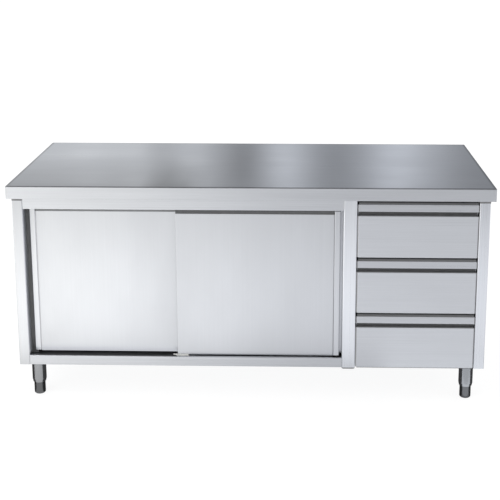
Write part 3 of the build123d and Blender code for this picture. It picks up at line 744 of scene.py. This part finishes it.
def stage_mesh(name, points, faces, material):
    """A piece of the studio, which isn't part of the table."""
    mesh = bpy.data.meshes.new(name)
    mesh.from_pydata(points, [], faces)
    mesh.materials.append(material)
    made = bpy.data.objects.new(name, mesh)
    scene.collection.objects.link(made)
    return made


def flat(name, x, y, z, material):
    """A level rectangle from x[0] to x[1] and y[0] to y[1]."""
    corners = [(x[0], y[0], z), (x[1], y[0], z), (x[1], y[1], z), (x[0], y[1], z)]
    return stage_mesh(name, corners, [(0, 1, 2, 3)], material)


def floor_material():
    """Pale floor that glows evenly."""
    tree = new_tree("studio_floor")
    cloud = tree.noise(tree.place(), 1.5, 3, 0.5)
    base = tree.mix(tree.span(cloud, 0.3, 0.7, 0, 1), (0.14, 0.14, 0.14), (0.15, 0.15, 0.15))
    matt = tree.span(cloud, 0.3, 0.7, 0.8, 0.95)
    return tree.finish(base, matt, Emission_Color=(1, 1, 1, 1), Emission_Strength=FLOOR_GLOW)


def glow_material(name, colour):
    """Light of one colour, or of what a function adds to the tree."""
    tree = new_tree(name)
    glow = tree.node("ShaderNodeEmission")
    tree.put(glow.inputs["Color"], colour(tree) if callable(colour) else (*colour, 1.0))
    return tree.output("ShaderNodeOutputMaterial", glow.outputs[0])


def reflection_only(thing):
    """Seen in gloss only: it casts no shadow and lights nothing."""
    thing.visible_camera = False
    thing.visible_diffuse = False
    thing.visible_shadow = False


def brightness(tree, position, stops):
    """Brightness between stops along one coordinate."""
    low, high = stops[0][0], stops[-1][0]
    ramp = tree.node("ShaderNodeValToRGB")
    tree.put(ramp.inputs[0], tree.span(position, low, high, 0, 1))
    elements = ramp.color_ramp.elements
    while len(elements) < len(stops):
        elements.new(0.5)
    for element, (place, value) in zip(elements, stops):
        element.position = (place - low) / (high - low)
        element.color = (value, value, value, 1)
    return ramp.outputs[0]


def card_colour(along_x, along_y, left_cast=(1.03, 1.02, 0.985), right_cast=(1.0, 1.01, 1.04), fan=False):
    """A colour for glow_material that varies along X and Y."""
    def colour(tree):
        x, y = tree.axes()[:2]
        if fan:
            slant = tree.work_out("DIVIDE", tree.minus(x, FAN_X), tree.minus(y, FAN_Y))
            x = tree.plus(tree.times(slant, FAN_REACH), FAN_X)
        tone = tree.times(brightness(tree, x, along_x), brightness(tree, y, along_y))
        return tree.scaled(tree.mix(tree.span(x, -1.2, 0.4, 0, 1), left_cast, right_cast), tone)
    return colour


def card(name, x, y, z, colour):
    """A level card that only reflections see."""
    reflection_only(flat(name, x, y, z, glow_material(name, colour)))


def foot_flag(name, centre, inward):
    """Dark ring round a foot, open on the side away from the table's middle."""
    count = 24
    points = []
    for k in range(count + 1):
        angle = math.pi * (1.36 * k / count - 0.18)
        x, y = FLAG_RADIUS * math.cos(angle), inward * FLAG_RADIUS * math.sin(angle)
        rim_x, rim_y = centre.x + x, centre.y + y
        points.append((centre.x + 0.3 * x, centre.y + 0.3 * y, FLAG_FOOT))
        points.append((rim_x, rim_y, FLAG_FOOT))
        points.append((rim_x, rim_y, FLAG_TOP))
    faces = [(3 * k + j, 3 * k + 3 + j, 3 * k + 4 + j, 3 * k + 1 + j) for k in range(count) for j in (0, 1)]
    reflection_only(stage_mesh(name, points, faces, flag_black))


flat("studio_floor", (-HALF_FLOOR, HALF_FLOOR), (-HALF_FLOOR, HALF_FLOOR), 0, floor_material())

strip_colour = card_colour(STRIPS_X, STRIPS_Y, (0.97, 0.985, 1.0), (0.95, 0.985, 1.05), fan=True)
card("strip_card", (-8, 8), (STRIP_START, 40), STRIP_HEIGHT, strip_colour)
card("dark_card", (-8, 8), (-2.2, STRIP_START), STRIP_HEIGHT, (0.22, 0.22, 0.23))
card("front_card", (-6, 6), (FRONT_SEAM, -0.3), FRONT_HEIGHT, card_colour(FRONT_X, FRONT_Y))
card("far_card", (-6, 6), (-14, FRONT_SEAM), FRONT_HEIGHT, card_colour(FAR_X, FRONT_Y))

# Two cards in front of the right foot, for its insert and its sleeve.
for name, y, tone in (("near_foot_card", (-0.46, -0.345), 1.2), ("far_foot_card", (-0.8, -0.46), 0.92)):
    card(name, FOOT_CARD_X, y, FOOT_CARD_HEIGHT, shade((1.0, 1.02, 1.05), tone))

flag_black = glow_material("flag_black", (0.09, 0.09, 0.09))
for row, inward in (("front", 1), ("rear", -1)):
    for side in ("left", "right"):
        low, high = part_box(f"{row}_{side}_foot_insert")
        foot_flag(f"flag_{row}_{side}", (low + high) / 2, inward)

# A bright card with a dark one just under it, over the well in front of the left door.
left_low, right_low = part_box("left_door_outer_skin")[0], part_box("right_door_outer_skin")[0]
well_x = (left_low.x - 0.02, right_low.x - 0.002)
well_y = (left_post[0].y + 0.001, left_low.y - 0.0005)
card("well_card", well_x, well_y, left_low.z + 0.0006, (0.95, 0.96, 0.98))
reflection_only(flat("well_shade", well_x, well_y, left_low.z + 0.0002, flag_black))


# ---- world, light and camera ----

WORLD_GLOW = 1.05
KEY_PLACE, KEY_TARGET = Vector((-2.4, -3.0, 2.6)), Vector((-0.7, -0.4, 0.3))
KEY_SIZE, KEY_POWER = 2.0, 35

# Even pale surroundings, a little darker towards the horizon.
world = Tree(bpy.data.worlds.new("studio_world"))
scene.world = world.owner
background = world.node("ShaderNodeBackground")
level = world.span(world.axes("Generated")[2], -0.05, 0.5, 0.8, 1.0)
world.put(background.inputs["Color"], world.mix(level, (0, 0, 0), (1.0, 1.0, 1.0)))
world.put(background.inputs["Strength"], WORLD_GLOW)
world.output("ShaderNodeOutputWorld", background.outputs[0])

key_data = bpy.data.lights.new("key_light", "AREA")
key_data.shape = "RECTANGLE"
key_data.size = key_data.size_y = KEY_SIZE
key_data.energy = KEY_POWER
key_light = bpy.data.objects.new("key_light", key_data)
scene.collection.objects.link(key_light)
key_light.location = KEY_PLACE
key_light.rotation_euler = (KEY_TARGET - KEY_PLACE).to_track_quat("-Z", "Y").to_euler()

camera_data = bpy.data.cameras.new("camera")
camera_data.sensor_width = 36
camera_data.lens = 78.3
camera_data.shift_x = -0.04
camera_data.shift_y = -0.19
camera_data.clip_end = 200
camera = bpy.data.objects.new("camera", camera_data)
scene.collection.objects.link(camera)
camera.location = (0.168, -4.252, 1.810)
camera.rotation_euler = (math.radians(90 - 12.26), 0, math.radians(1.40))
bpy.context.scene.camera = camera

scene.view_settings.view_transform = "Standard"
scene.view_settings.look = "None"
